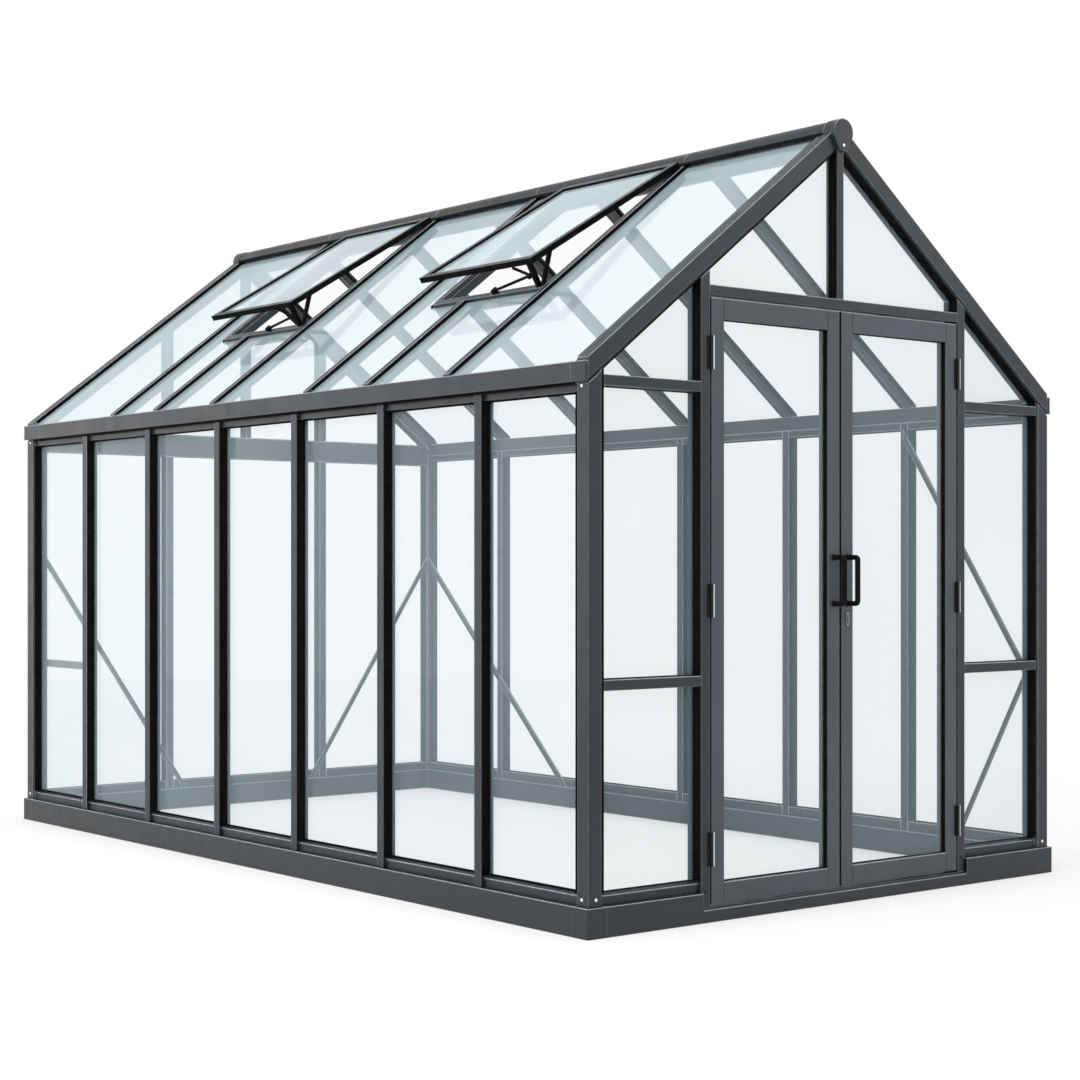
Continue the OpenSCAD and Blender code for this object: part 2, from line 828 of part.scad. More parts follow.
// Frame of a vent's own sheet, swung open about its hinge line
module on_vent(i) {
    left_slope() translate([vent_hinge_u, roof_y(i), vent_seat])
        rotate([0, vent_open, 0]) children();
}

module vent_sills() {
    placed(frame_grey) for (i = vent_bays) {
        y1 = trimmer_y(i) + roof_bar_w / 2 - groove_d;
        left_slope() translate([vent_sill_u, y1, 0]) rotate([90, 0, 0])
            linear_extrude(y1 - roof_bay_start(i)) mirror([0, 1]) roof_bar_profile(vent_sill_w);
    }
}

// Slab of a bay's vent, measured in from its edges
module vent_slab(i, inset, z0, t) {
    translate([inset - vent_l, inset, z0]) cube([vent_l - 2 * inset, vent_w(i) - 2 * inset, t]);
}

module vent_frames() {
    placed(frame_grey) for (i = vent_bays) on_vent(i) difference() {
        vent_slab(i, 0, 0, vent_t);
        vent_slab(i, vent_bar_w, -overrun, vent_t + 2 * overrun);
        vent_slab(i, vent_bar_w - groove_d, vent_glass_z - glaze_gap, groove_w);
    }
}

module vent_glass() {
    placed(glass_blue) for (i = vent_bays) on_vent(i)
        vent_slab(i, vent_bar_w - pane_in, vent_glass_z, glass_t);
}

// Underside of an open vent over a place on the slope
function vent_under(u) = vent_seat + (vent_hinge_u - u) * tan(vent_open);

// Strut of an opener, from the sill up to the frame of the vent, leaning up the slope
module opener_strut(y, lean) {
    u0 = vent_sill_u - opener_arm_w / 2;
    u1 = u0 + lean;
    translate([0, y + opener_arm_t, 0]) rotate([90, 0, 0]) linear_extrude(opener_arm_t)
        polygon([[u0, 0], [u0 + opener_arm_w, 0], [u1 + opener_arm_w, vent_under(u1 + opener_arm_w)],
            [u1, vent_under(u1)]]);
}

// Pivot whose axis runs up the slope
module opener_pivot(y, z) {
    translate([vent_sill_u, y, z]) rotate([0, 90, 0])
        cylinder(h = opener_arm_w, r = opener_pivot_r, center = true);
}

// Round rod between two places over the sill
module opener_rod(from, to) {
    reach = to - from;
    translate([vent_sill_u, from[0], from[1]]) rotate([atan2(-reach[0], reach[1]), 0, 0])
        cylinder(h = norm(reach), r = opener_rod_r);
}

// Opener: a pair of struts, and a push rod whose foot turns on the sill, linked to the vent's rail
module opener(w) {
    gap = vent_under(vent_sill_u);
    strut_y = opener_inset + 2 * opener_arm_t;
    foot = [w * rod_foot_share, opener_pivot_r + opener_play];
    head = [strut_y + opener_arm_t + opener_pivot_r - opener_play, gap * rod_head_share];
    link = [w * link_head_share, gap - opener_rod_r - opener_play];
    opener_strut(opener_inset, opener_long_lean);
    opener_strut(strut_y, opener_short_lean);
    opener_pivot(foot[0], foot[1]);
    opener_pivot(head[0], head[1]);
    opener_rod(foot, head);
    opener_rod(head, link);
}

module vent_openers() {
    placed(black_plastic) for (i = vent_bays) left_slope()
        translate([0, roof_bay_start(i), 0]) opener(vent_w(i));
}

// Doors, drawn as the left leaf

module leaf_stiles() {
    for (side = [0, 1]) {
        translate([leaf_x + side * leaf_w, -half_l, leaf_low_z]) mirror([side, 0, 0])
            linear_extrude(leaf_h) difference() {
                square([stile_w, leaf_t]);
                translate([stile_w - groove_d, leaf_groove_a]) square([groove_d + overrun, groove_w]);
            }
    }
}

module leaf_rails() {
    span = leaf_w - 2 * stile_w;
    for (side = [0, 1]) {
        translate([leaf_x + stile_w, -half_l, leaf_low_z + side * leaf_h]) mirror([0, 0, side])
            rotate([90, 0, 90]) linear_extrude(span) difference() {
                square([leaf_t, rail_h]);
                translate([leaf_groove_a, rail_h - groove_d]) square([groove_w, groove_d + overrun]);
            }
    }
}

module leaf_glass() {
    translate([leaf_x + stile_w - pane_in, -half_l + leaf_glass_set, leaf_low_z + rail_h - pane_in])
        cube([leaf_w - 2 * (stile_w - pane_in), glass_t, leaf_h - 2 * (rail_h - pane_in)]);
}

// Bow handle: a loop with round outer corners, standing on the leaf
module leaf_handle() {
    r = handle_corner_r;
    translate([handle_x - handle_t / 2, -half_l, handle_z]) rotate([90, 0, 90]) linear_extrude(handle_t)
        difference() {
            union() {
                translate([-handle_out + r, -handle_h / 2]) square([handle_out - r, handle_h]);
                translate([-handle_out, -handle_h / 2 + r]) square([handle_out, handle_h - 2 * r]);
                for (end = [-1, 1]) translate([-handle_out + r, end * (handle_h / 2 - r)]) circle(r);
            }
            translate([-handle_out + handle_t, -handle_h / 2 + handle_t])
                square([handle_out - handle_t + overrun, handle_h - 2 * handle_t]);
        }
}

// Part of a hinge plate on the face of the leaf, X from the pin
module hinge_plate(z0, h) {
    inner = knuckle_r + plate_clear;
    edge = door_gap / 2;
    translate([inner, knuckle_r - hinge_plate_t, -hinge_h / 2])
        cube([hinge_plate_w - inner, hinge_plate_t, hinge_h]);
    translate([edge, knuckle_r - hinge_plate_t, z0]) cube([hinge_plate_w - edge, hinge_plate_t, h]);
}

// Leaf side of the hinges: the bored middle knuckle and its plate
module leaf_hinges() {
    for (z = hinge_zs) translate([hinge_x, hinge_y, z]) difference() {
        union() {
            cylinder(h = knuckle_h, r = knuckle_r, center = true);
            hinge_plate(-knuckle_h / 2, knuckle_h);
        }
        cylinder(h = hinge_h, r = hinge_pin_r + hinge_play, center = true);
    }
}

// Jamb side of the hinges: two knuckles, the pin through all three, and a plate
module jamb_hinges() {
    end_z = knuckle_h / 2 + knuckle_gap;
    placed(bare_metal) both_sides() for (z = hinge_zs) translate([hinge_x, hinge_y, z]) {
        cylinder(h = hinge_h, r = hinge_pin_r, center = true);
        for (up = [0, 1]) mirror([0, 0, up]) {
            translate([0, 0, end_z]) cylinder(h = knuckle_h, r = knuckle_r);
            mirror([1, 0, 0]) hinge_plate(end_z, knuckle_h);
        }
    }
}

module left_door_stiles() {
    placed(frame_grey) leaf_stiles();
}

module left_door_rails() {
    placed(frame_grey) leaf_rails();
}

module left_door_glass() {
    placed(glass_blue) leaf_glass();
}

module left_door_handle() {
    placed(black_plastic) leaf_handle();
}

module left_door_hinges() {
    placed(bare_metal) leaf_hinges();
}

module right_door_stiles() {
    placed(frame_grey) mirror([1, 0, 0]) leaf_stiles();
}

module right_door_rails() {
    placed(frame_grey) mirror([1, 0, 0]) leaf_rails();
}

module right_door_glass() {
    placed(glass_blue) mirror([1, 0, 0]) leaf_glass();
}

module right_door_handle() {
    placed(black_plastic) mirror([1, 0, 0]) leaf_handle();
}

module right_door_hinges() {
    placed(bare_metal) mirror([1, 0, 0]) leaf_hinges();
}

// Escutcheon of the lock on the right leaf, with round ends
module door_lock() {
    placed(bare_metal) translate([-handle_x, -half_l, handle_z - handle_h / 2 - lock_drop])
        rotate([90, 0, 0]) linear_extrude(lock_t) {
            square([lock_w, lock_h - lock_w], center = true);
            for (end = [-1, 1]) translate([0, end * (lock_h - lock_w) / 2]) circle(lock_w / 2);
        }
}

base_side_rails();
base_back_rail();
base_front_rails();
base_corners();
door_sill();
corner_posts();
left_wall_bars();
right_wall_bars();
side_sill_rails();
gable_sill_rails();
eaves_rails();
gutters();
gutter_end_caps();
left_rafters();
right_rafters();
left_roof_bars();
right_roof_bars();
ridge_beam();
ridge_caps();
ridge_end_caps();
door_jambs();
door_head();
king_posts();
front_transoms();
back_mullions();
back_rails();
wall_braces();
left_wall_glass();
right_wall_glass();
left_roof_glass();
right_roof_glass();
front_gable_glass();
back_gable_glass();
vent_sills();
vent_frames();
vent_glass();
vent_openers();
jamb_hinges();
left_door_stiles();
left_door_rails();
left_door_glass();
left_door_handle();
left_door_hinges();
right_door_stiles();
right_door_rails();
right_door_glass();
right_door_handle();
right_door_hinges();
door_lock();
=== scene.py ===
"""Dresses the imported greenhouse: coated frame, hazy glass, seals, screws, and a white studio."""

import json
import math

import bmesh
import bpy
from mathutils import Matrix, Vector


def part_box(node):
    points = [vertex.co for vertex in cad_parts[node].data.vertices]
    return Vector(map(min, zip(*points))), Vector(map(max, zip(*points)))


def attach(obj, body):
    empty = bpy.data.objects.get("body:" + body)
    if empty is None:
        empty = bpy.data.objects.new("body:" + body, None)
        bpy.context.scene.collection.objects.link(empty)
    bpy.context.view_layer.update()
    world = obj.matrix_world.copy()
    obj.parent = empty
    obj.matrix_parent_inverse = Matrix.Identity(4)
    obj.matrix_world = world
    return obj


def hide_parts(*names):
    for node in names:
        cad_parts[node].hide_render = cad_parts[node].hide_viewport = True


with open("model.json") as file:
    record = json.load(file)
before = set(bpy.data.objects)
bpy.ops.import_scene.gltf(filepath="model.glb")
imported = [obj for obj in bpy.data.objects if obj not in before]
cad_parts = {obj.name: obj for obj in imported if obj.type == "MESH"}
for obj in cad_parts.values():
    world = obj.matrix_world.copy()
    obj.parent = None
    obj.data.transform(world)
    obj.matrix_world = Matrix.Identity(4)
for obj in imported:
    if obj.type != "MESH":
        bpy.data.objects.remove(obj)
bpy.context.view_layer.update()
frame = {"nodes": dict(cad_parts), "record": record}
nodes = frame["nodes"]
scene = bpy.context.scene

MM = 0.001
UP = Vector((0, 0, 1))

# Places that several pieces share, read from the frame
POST_LOW, POST_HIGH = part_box("corner_posts")
FRONT_Y = POST_LOW.y
BACK_Y = POST_HIGH.y
SIDE_X = POST_HIGH.x
BASE_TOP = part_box("base_side_rails")[1].z
GUTTER_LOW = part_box("gutters")[0].z
ROOM_MIDDLE_Z = 1.1
MIDDLE = Vector((0, (FRONT_Y + BACK_Y) / 2, ROOM_MIDDLE_Z))


# Shader nodes

# Noise is spread over this part of its range
NOISE_LOW = 0.3
NOISE_HIGH = 0.7
BEVEL_SAMPLES = 6


class Shader:
    """Adds nodes to a node tree and links them."""

    def __init__(self, tree):
        self.tree = tree
        tree.nodes.clear()

    def add(self, kind, inputs=None, **settings):
        """A node with its settings, and with each input linked to a socket or set to a constant."""
        node = self.tree.nodes.new(kind)
        for key, value in settings.items():
            setattr(node, key, value)
        for key, value in (inputs or {}).items():
            socket = node.inputs[key]
            if isinstance(value, bpy.types.NodeSocket):
                self.tree.links.new(value, socket)
            else:
                socket.default_value = value
        return node

    def math(self, operation, a, b=0.0, c=0.0, clamp=False):
        node = self.add("ShaderNodeMath", {0: a, 1: b, 2: c}, operation=operation, use_clamp=clamp)
        return node.outputs[0]

    def dot(self, a, b):
        return self.add("ShaderNodeVectorMath", {0: a, 1: b}, operation="DOT_PRODUCT").outputs["Value"]

    def minus(self, a, b):
        return self.add("ShaderNodeVectorMath", {0: a, 1: b}, operation="SUBTRACT").outputs["Vector"]

    def mix(self, factor, a, b, blend="MIX"):
        """Two colours mixed; the numbers are the colour sockets of the mix node."""
        node = self.add("ShaderNodeMix", {0: factor, 6: a, 7: b}, data_type="RGBA", blend_type=blend)
        return node.outputs[2]

    def ramp(self, value, low, high, to_low=0.0, to_high=1.0):
        node = self.add("ShaderNodeMapRange", {"Value": value, "From Min": low, "From Max": high,
                                               "To Min": to_low, "To Max": to_high})
        return node.outputs["Result"]

    def noise(self, place, scale, detail=2.0, rough=0.5):
        node = self.add("ShaderNodeTexNoise", {"Vector": place, "Scale": scale, "Detail": detail,
                                               "Roughness": rough})
        return node.outputs["Fac"]

    def spread(self, place, scale, detail=2.0, to_low=0.0, to_high=1.0):
        """Noise spread from one value to another."""
        return self.ramp(self.noise(place, scale, detail), NOISE_LOW, NOISE_HIGH, to_low, to_high)

    def place(self):
        return self.add("ShaderNodeTexCoord").outputs["Object"]

    def axis(self, vector, name):
        return self.add("ShaderNodeSeparateXYZ", {0: vector}).outputs[name]

    def geometry(self):
        return self.add("ShaderNodeNewGeometry").outputs

    def rays(self):
        return self.add("ShaderNodeLightPath").outputs

    def soft_normal(self, radius):
        """Normal with rounded edges."""
        node = self.add("ShaderNodeBevel", {"Radius": radius}, samples=BEVEL_SAMPLES)
        return node.outputs["Normal"]

    def bump(self, height, strength, distance, **more):
        inputs = {"Strength": strength, "Distance": distance, "Height": height}
        inputs.update(more)
        return self.add("ShaderNodeBump", inputs).outputs["Normal"]

    def principled(self, inputs):
        return self.add("ShaderNodeBsdfPrincipled", inputs).outputs[0]

    def mix_shaders(self, factor, a, b):
        return self.add("ShaderNodeMixShader", {0: factor, 1: a, 2: b}).outputs[0]

    def out(self, surface, kind="ShaderNodeOutputMaterial"):
        self.add(kind, {"Surface": surface})


def material(name):
    mat = bpy.data.materials.new(name)
    mat.use_nodes = True
    return mat, Shader(mat.node_tree)


def grey(value, blue=0.0):
    return (value, value * (1 + blue / 2), value * (1 + blue), 1.0)


# Powder coat

FRAME_TONE = 0.019
DOOR_TONE = 0.054
COAT_BLUE = 0.5
TONE_SPREAD = 0.14
# Painted highlights along rounded edges: brightest where an edge looks up, dimmer on other outer edges,
# bright on edges that face into the room
TOP_EDGE_HIGHLIGHT = grey(0.70, 0.10)
SIDE_EDGE_HIGHLIGHT = grey(0.11, 0.20)
ROOM_EDGE_HIGHLIGHT = grey(0.50, 0.20)
# Painted shade down joints, corners and narrow gaps
PAINTED_CREVICE_SHADE = grey(0.003)
COAT_BEVEL = 5 * MM

# Faces whose outward measure is below this look into the room
ROOM_SIDE = -0.9

# Dot of the soft and the true normal on flat faces and along edges
EDGE_FLAT = 0.998
EDGE_ROUND = 0.93

# Painted shade: joints and narrow gaps are darkened where the open share of a face's surroundings is small
CREVICE_REACH = 12 * MM
CREVICE_SAMPLES = 4
CREVICE_SHUT = 0.30
CREVICE_OPEN = 0.72


def edge_mask(sh, soft):
    """One along the rounded edges of a solid, nought on its flat faces."""
    return sh.ramp(sh.dot(soft, sh.geometry()["True Normal"]), EDGE_FLAT, EDGE_ROUND)


def open_share(sh):
    """One on open faces, nought down in joints and narrow gaps."""
    node = sh.add("ShaderNodeAmbientOcclusion", {"Distance": CREVICE_REACH}, samples=CREVICE_SAMPLES)
    return sh.ramp(node.outputs["AO"], CREVICE_SHUT, CREVICE_OPEN)


def outward(sh, geometry):
    """How far the face looks away from the middle of the room, times its distance in metres."""
    return sh.dot(geometry["True Normal"], sh.minus(geometry["Position"], tuple(MIDDLE)))


def coat_colour(sh, place, soft, base=FRAME_TONE, side_edge=SIDE_EDGE_HIGHLIGHT):
    """Drifting tone with fine speckle, a painted highlight along the edges that is brightest where they look
    up, and painted shade in joints and narrow gaps.
    """
    low = 1 - TONE_SPREAD
    high = 1 + TONE_SPREAD
    drift = sh.spread(place, scale=1.7, detail=3.0)
    tone = sh.mix(drift, grey(base * low, COAT_BLUE), grey(base * high, COAT_BLUE))
    speckle = sh.ramp(sh.noise(place, scale=850.0, detail=1.0), 0.25, 0.75, low, high)
    speckle = sh.add("ShaderNodeCombineColor", {0: speckle, 1: speckle, 2: speckle}).outputs[0]
    tone = sh.mix(1.0, tone, speckle, "MULTIPLY")
    room_side = sh.math("LESS_THAN", outward(sh, sh.geometry()), ROOM_SIDE)
    # Painted highlight along the edges, brightest where they look up, broken up by noise
    edge = sh.mix(room_side, side_edge, ROOM_EDGE_HIGHLIGHT)
    looks_up = sh.ramp(sh.axis(soft, "Z"), 0.1, 0.6)
    edge = sh.mix(looks_up, edge, TOP_EDGE_HIGHLIGHT)
    highlight_breakup = sh.ramp(sh.noise(place, scale=60.0), 0.25, 0.6, 0.6, 1.0)
    tone = sh.mix(sh.math("MULTIPLY", edge_mask(sh, soft), highlight_breakup), tone, edge)
    # Painted shade down joints and narrow gaps
    return sh.mix(open_share(sh), PAINTED_CREVICE_SHADE, tone)


def coat_shader(sh, colour, place, soft):
    grain = sh.noise(place, scale=620.0, rough=0.6)
    return sh.principled({
        "Base Color": colour,
        "Roughness": sh.spread(place, scale=14.0, detail=3.0, to_low=0.36, to_high=0.48),
        "IOR": 1.48,
        "Specular IOR Level": 0.38,
        "Normal": sh.bump(grain, strength=0.10, distance=0.6 * MM, Normal=soft),
    })


def powder_coat(name, base, side_edge=SIDE_EDGE_HIGHLIGHT):
    mat, sh = material(name)
    place = sh.place()
    soft = sh.soft_normal(COAT_BEVEL)
    sh.out(coat_shader(sh, coat_colour(sh, place, soft, base, side_edge), place, soft))
    return mat


# Rubber and plastic

TRIM_BEVEL = 1.2 * MM
PLASTIC_BEVEL = 2 * MM
BLACK_LOW = grey(0.003)
RUBBER_HIGH = grey(0.007)
PLASTIC_HIGH = grey(0.008)
# Painted highlight along the edges of black plastic
PLASTIC_EDGE_HIGHLIGHT = grey(0.03)


def rubber_shader(sh, place):
    return sh.principled({
        "Base Color": sh.mix(sh.spread(place, scale=40.0, detail=3.0), BLACK_LOW, RUBBER_HIGH),
        "Roughness": sh.spread(place, scale=90.0, to_low=0.55, to_high=0.75),
        "IOR": 1.4,
        "Specular IOR Level": 0.04,
        "Normal": sh.bump(sh.noise(place, scale=900.0), strength=0.2, distance=0.4 * MM),
    })


def rubber(name):
    mat, sh = material(name)
    sh.out(rubber_shader(sh, sh.place()))
    return mat


def edged_coat(name, normal, limit):
    """Powder coat on the faces that look along the normal, black rubber trim round the sides."""
    mat, sh = material(name)
    place = sh.place()
    soft = sh.soft_normal(TRIM_BEVEL)
    face = sh.math("GREATER_THAN", sh.dot(sh.geometry()["True Normal"], tuple(normal)), limit)
    coat = coat_shader(sh, coat_colour(sh, place, soft), place, soft)
    sh.out(sh.mix_shaders(face, rubber_shader(sh, place), coat))
    return mat


def black_plastic():
    mat, sh = material("black_plastic")
    place = sh.place()
    soft = sh.soft_normal(PLASTIC_BEVEL)
    # Black plastic, with a painted highlight along its edges
    tone = sh.mix(sh.spread(place, scale=300.0), BLACK_LOW, PLASTIC_HIGH)
    sh.out(sh.principled({
        "Base Color": sh.mix(edge_mask(sh, soft), tone, PLASTIC_EDGE_HIGHLIGHT),
        "Roughness": sh.spread(place, scale=25.0, to_low=0.38, to_high=0.5),
        "Specular IOR Level": 0.025,
        "Normal": sh.bump(sh.noise(place, scale=1400.0), strength=0.15, distance=0.5 * MM, Normal=soft),
    }))
    return mat


# Metal

HINGE_X = 561.5 * MM
PIN_EDGE = -0.5 * MM
HINGE_BEVEL = 0.8 * MM
BRUSH_SCALE = (1600.0, 1600.0, 30.0)
STEEL_LOW = grey(0.72, 0.03)
STEEL_HIGH = grey(0.93, 0.01)
LOCK_TONE = grey(0.10)
LOCK_DULL = 0.82
KEY_SLOT_SHADE = grey(0.01)
KEY_SLOT_HALF_W = 2.6 * MM
KEY_SLOT_HALF_H = 13 * MM


def brushed(sh, place):
    """Colour and roughness of brushed steel, brushed along the height."""
    lines = sh.add("ShaderNodeMapping", {"Vector": place, "Scale": BRUSH_SCALE})
    brush = sh.noise(lines.outputs["Vector"], scale=1.0)
    return sh.mix(brush, STEEL_LOW, STEEL_HIGH), sh.ramp(brush, 0.2, 0.8, 0.22, 0.42)


def steel():
    mat, sh = material("zinc_steel")
    tone, rough = brushed(sh, sh.place())
    sh.out(sh.principled({"Base Color": tone, "Roughness": rough, "Metallic": 1.0}))
    return mat


def hinge_steel_and_painted_shade():
    """Hinges: bare steel to the right of the pin, and black to the left of it as painted shade, as if lit
    from the right.
    """
    mat, sh = material("hinge_steel_and_painted_shade")
    place = sh.place()
    x = sh.axis(place, "X")
    pin_x = sh.math("MULTIPLY", sh.math("SIGN", x), HINGE_X)
    bare = sh.math("GREATER_THAN", sh.math("SUBTRACT", x, pin_x), PIN_EDGE)
    # Painted shade: left of the pin, plate and knuckle are black as if in shadow
    black = sh.mix(sh.noise(place, scale=60.0), BLACK_LOW, PLASTIC_HIGH)
    shaded_half = coat_shader(sh, black, place, sh.soft_normal(HINGE_BEVEL))
    tone, rough = brushed(sh, place)
    metal = sh.principled({"Base Color": tone, "Roughness": rough, "Metallic": 1.0})
    sh.out(sh.mix_shaders(bare, shaded_half, metal))
    return mat


def lock_finish():
    """Lock plate: dull steel with a key slot down its middle, painted dark as the shade inside the slot."""
    mat, sh = material("lock_finish")
    low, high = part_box("door_lock")
    place = sh.place()
    spot = sh.minus(place, tuple((low + high) / 2))
    across = sh.math("LESS_THAN", sh.math("ABSOLUTE", sh.axis(spot, "X")), KEY_SLOT_HALF_W)
    along = sh.math("LESS_THAN", sh.math("ABSOLUTE", sh.axis(spot, "Z")), KEY_SLOT_HALF_H)
    tone, rough = brushed(sh, place)
    tone = sh.mix(LOCK_DULL, tone, LOCK_TONE)
    # Painted shade inside the key slot
    tone = sh.mix(sh.math("MULTIPLY", across, along), tone, KEY_SLOT_SHADE)
    sh.out(sh.principled({"Base Color": tone, "Roughness": rough, "Metallic": 0.8}))
    return mat


# Glass

# Pale layer on the panes: faint haze head-on and a painted reflection of the pale studio growing towards
# grazing views
HAZE_AND_REFLECTION_LEAST = 0.18
REFLECTION_GRAZING = 0.93
REFLECTION_POWER = 3.0
HAZE_AND_REFLECTION_INSIDE = 0.12
HAZE_AND_REFLECTION_LIGHT_LOSS = 0.7
HAZE_AND_REFLECTION_LOW = (0.37, 0.49, 0.55, 1.0)
HAZE_AND_REFLECTION_HIGH = (0.44, 0.56, 0.62, 1.0)
REFLECTION_SLANTED = (0.50, 0.64, 0.69, 1.0)


def outer_hit(sh):
    """One where a ray comes to the outer face of a pane from outside."""
    geometry = sh.geometry()
    outside = sh.math("GREATER_THAN", outward(sh, geometry), 0.0)
    return sh.math("MULTIPLY", outside, sh.math("SUBTRACT", 1.0, geometry["Backfacing"]))


def clear_glass():
    """Clear glass with a pale layer on its outer face: faint haze head-on and a painted reflection that
    grows towards grazing views.
    """
    mat, sh = material("clear_glass")
    place = sh.place()
    facing = sh.add("ShaderNodeLayerWeight", {"Blend": 0.5}).outputs["Facing"]
    haze_and_reflection = sh.math("MULTIPLY_ADD", sh.math("POWER", facing, REFLECTION_POWER), REFLECTION_GRAZING, HAZE_AND_REFLECTION_LEAST)
    side = sh.math("MULTIPLY_ADD", outer_hit(sh), 1 - HAZE_AND_REFLECTION_INSIDE, HAZE_AND_REFLECTION_INSIDE)
    haze_and_reflection = sh.math("MULTIPLY", haze_and_reflection, side)
    haze_and_reflection = sh.math("MULTIPLY", haze_and_reflection, sh.spread(place, scale=1.3, detail=3.0, to_low=0.9, to_high=1.1))
    rays = sh.rays()
    lit = sh.math("MAXIMUM", rays["Is Shadow Ray"], rays["Is Diffuse Ray"])
    shade = sh.math("MULTIPLY_ADD", lit, -HAZE_AND_REFLECTION_LIGHT_LOSS, 1.0)
    # Colour of the pale layer: the haze tint, turning to the painted reflection's colour towards grazing
    # views
    haze_and_reflection_tint = sh.mix(sh.noise(place, scale=0.9), HAZE_AND_REFLECTION_LOW, HAZE_AND_REFLECTION_HIGH)
    sh.out(sh.principled({
        "Base Color": sh.mix(sh.ramp(facing, 0.4, 0.65), haze_and_reflection_tint, REFLECTION_SLANTED),
        "Roughness": 0.04,
        "IOR": 1.5,
        "Alpha": sh.math("MULTIPLY", haze_and_reflection, shade, clamp=True),
    }))
    return mat


# Finishes of the CAD nodes

VENT_FACE = 0.9


def vent_normal():
    """Outward normal of the open vents, from the largest faces of their glass."""
    mesh = nodes["vent_glass"].data
    best = max(mesh.polygons, key=lambda p: p.area * (p.normal.z > 0))
    return best.normal.copy()


COAT = powder_coat("powder_coat", FRAME_TONE)
DOOR_COAT = powder_coat("door_coat", DOOR_TONE)
# Corner covers get painted shade instead of a highlight on edges that don't look up
CORNER_COAT = powder_coat("corner_coat", FRAME_TONE, PAINTED_CREVICE_SHADE)
VENT_COAT = edged_coat("vent_coat", vent_normal(), VENT_FACE)
GLASS = clear_glass()
RUBBER = rubber("black_rubber")
BLACK = black_plastic()
STEEL = steel()
HINGE = hinge_steel_and_painted_shade()
LOCK = lock_finish()

BY_SLOT = {"frame_paint": COAT, "glass": GLASS, "black_fittings": BLACK, "bare_metal": STEEL}
BY_NODE = {"vent_frames": VENT_COAT, "base_corners": CORNER_COAT, "door_lock": LOCK}


def dress_nodes():
    """Gives each CAD node its finish."""
    for row in frame["record"]["subparts"]:
        node = row["node"]
        finish = BY_NODE.get(node, BY_SLOT[row["material_slot"]])
        if node.endswith(("door_stiles", "door_rails")):
            finish = DOOR_COAT
        if node.endswith("hinges"):
            finish = HINGE
        for slot in nodes[node].material_slots:
            slot.material = finish


# Pieces made here

def add_piece(name, mesh, mat, body):
    obj = bpy.data.objects.new(name, mesh)
    scene.collection.objects.link(obj)
    mesh.materials.append(mat)
    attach(obj, body)
    return obj


class Solids:
    """Collects closed solids, each a row of rings with flat ends."""

    def __init__(self):
        self.verts = []
        self.faces = []

    def add(self, *rings):
        """The rings hold the points of one section after the other, in the same order."""
        n = len(rings[0])
        first = len(self.verts)
        last = first + (len(rings) - 1) * n
        for ring in rings:
            self.verts += ring
        for a in range(first, last, n):
            for i in range(n):
                j = (i + 1) % n
                self.faces.append((a + i, a + j, a + n + j, a + n + i))
        self.faces.append(tuple(first + i for i in range(n)))
        self.faces.append(tuple(last + i for i in reversed(range(n))))

    def place(self, name, body, mat=None, slot="black_fittings"):
        """Makes one piece of all the solids, of black rubber unless told otherwise."""
        mesh = bpy.data.meshes.new(name)
        mesh.from_pydata(self.verts, [], self.faces)
        bm = bmesh.new()
        bm.from_mesh(mesh)
        bmesh.ops.recalc_face_normals(bm, faces=bm.faces)
        bm.to_mesh(mesh)
        bm.free()
        return add_piece(name, mesh, mat or RUBBER, body)


# Seals round the panes

PANE_IN = 8 * MM
SAME_POINT = 0.02 * MM
FLAT_ANGLE = math.radians(0.5)
SEAL_GAP = 0.2 * MM
LIP_W = 3.6 * MM
FLANK_W = 1.6 * MM
# The tall flanks cover the sides of the bars in black: glazing seals, and also painted shade down those
# recessed sides
WALL_FLANK = 31 * MM
ROOF_FLANK = 10.5 * MM
VENT_FLANK = 6.5 * MM
DOOR_FLANK = 13 * MM


def islands(bm):
    """Faces of a mesh, in sets that hang together."""
    left = set(bm.faces)
    while left:
        island = set()
        front = [next(iter(left))]
        while front:
            face = front.pop()
            if face in island:
                continue
            island.add(face)
            front += [f for e in face.edges for f in e.link_faces if f not in island]
        left -= island
        yield island


def pane_faces(node):
    """For each pane of a node: outline and normal of its outer face, and its thickness."""
    bm = bmesh.new()
    bm.from_mesh(nodes[node].data)
    bmesh.ops.remove_doubles(bm, verts=bm.verts, dist=SAME_POINT)
    bmesh.ops.dissolve_limit(bm, angle_limit=FLAT_ANGLE, verts=bm.verts, edges=bm.edges)
    panes = []
    for island in islands(bm):
        two = sorted(island, key=lambda f: -f.calc_area())[:2]
        outer = max(two, key=lambda f: f.normal.dot(f.calc_center_median() - MIDDLE))
        inner = two[0] if outer is two[1] else two[1]
        gap = outer.calc_center_median() - inner.calc_center_median()
        outline = [v.co.copy() for v in outer.verts]
        panes.append((outline, outer.normal.copy(), abs(gap.dot(outer.normal))))
    bm.free()
    panes.sort(key=lambda p: tuple(round(c, 4) for c in p[0][0]))
    return panes


def inset(outline, normal, depth):
    """The outline moved inwards by a depth, with mitred corners."""
    moved = []
    for i, point in enumerate(outline):
        back = (point - outline[i - 1]).normalized()
        ahead = (outline[(i + 1) % len(outline)] - point).normalized()
        a = normal.cross(back)
        b = normal.cross(ahead)
        moved.append(point + (a + b) * (depth / (1 + a.dot(b))))
    return moved


